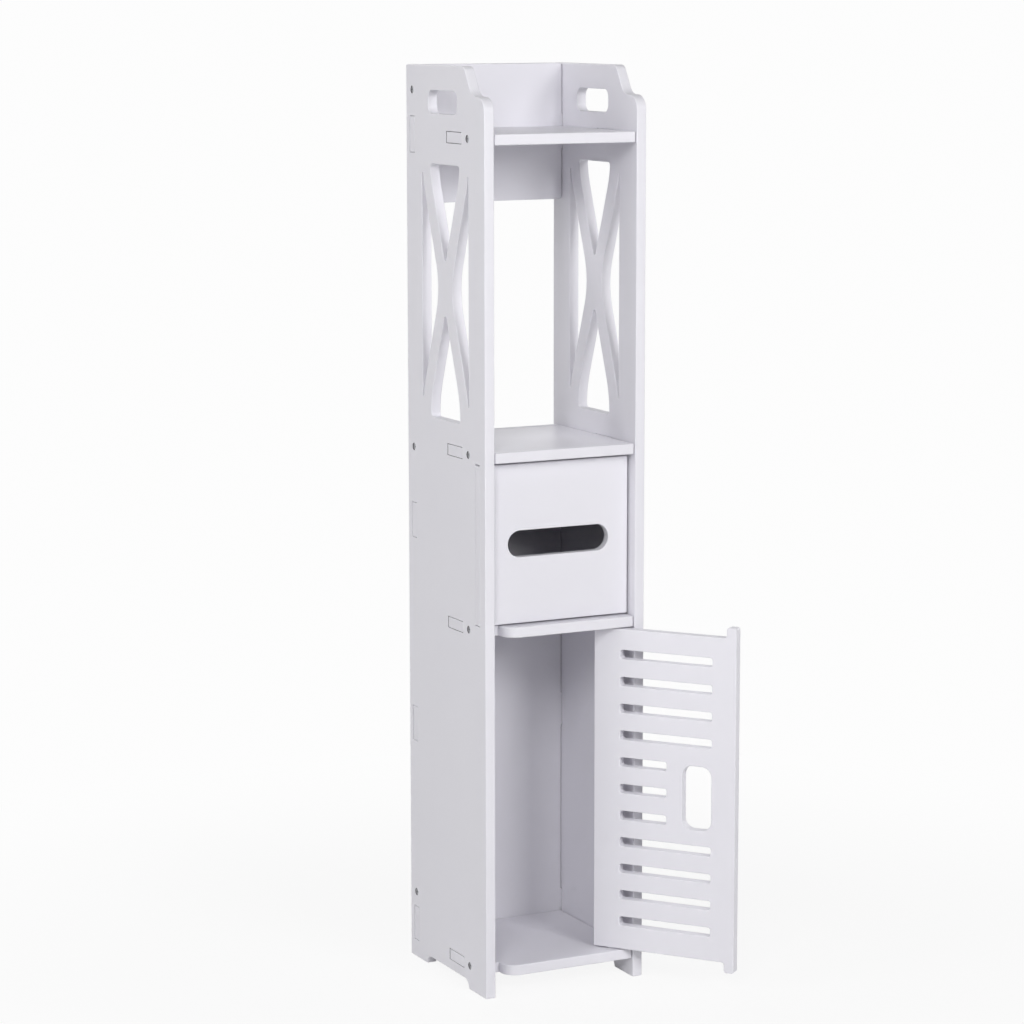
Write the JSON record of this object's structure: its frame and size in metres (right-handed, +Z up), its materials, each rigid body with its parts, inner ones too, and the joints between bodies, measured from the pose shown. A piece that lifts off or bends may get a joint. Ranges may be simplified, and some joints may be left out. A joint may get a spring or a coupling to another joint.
{
  "type": "toilet paper storage cabinet",
  "caption": "Slim white bathroom cabinet with a top tray, an open bay with crossed lattice sides, a roll compartment with a paper window and a cupboard with a slatted door.",
  "frame": {"origin": "centre of the base of the box around the cabinet with its door open, on the floor", "axes": "+X to the cabinet's right side as seen from the front, +Y from the front to the back, +Z up"},
  "size_m": [0.267, 0.309, 1.04],
  "materials": {
    "board": "smooth white foamed board with a fine matt skin and eased edges",
    "steel": "plain zinc-plated steel"
  },
  "bodies": {
    "cabinet": {"left_side_panel": "board", "right_side_panel": "board", "top_shelf": "board", "middle_shelf": "board", "door_head_shelf": "board", "bottom_shelf": "board", "upper_back_panel": "board", "lower_back_panel": "board", "top_shelf_screws": "steel", "middle_shelf_screws": "steel", "door_head_shelf_screws": "steel", "bottom_shelf_screws": "steel", "upper_back_screws": "steel", "lower_back_screws_top": "steel", "lower_back_screws_foot": "steel"},
    "door_leaf": {"door": "board", "door_pin_top": "steel", "door_pin_bottom": "steel"},
    "roll_front": {"dispenser_front": "board"}
  },
  "joints": [
    {"name": "door_hinge", "type": "hinge", "parent": "cabinet", "child": "door_leaf", "pos_m": [0.03397, -0.02948, 0.0355], "axis": [0, 0, 1], "range_deg": [-128, 0]},
    {"name": "roll_front_slide", "type": "slide", "parent": "cabinet", "child": "roll_front", "axis": [-1, 0, 0], "range_m": [0, 0.17]}
  ]
}
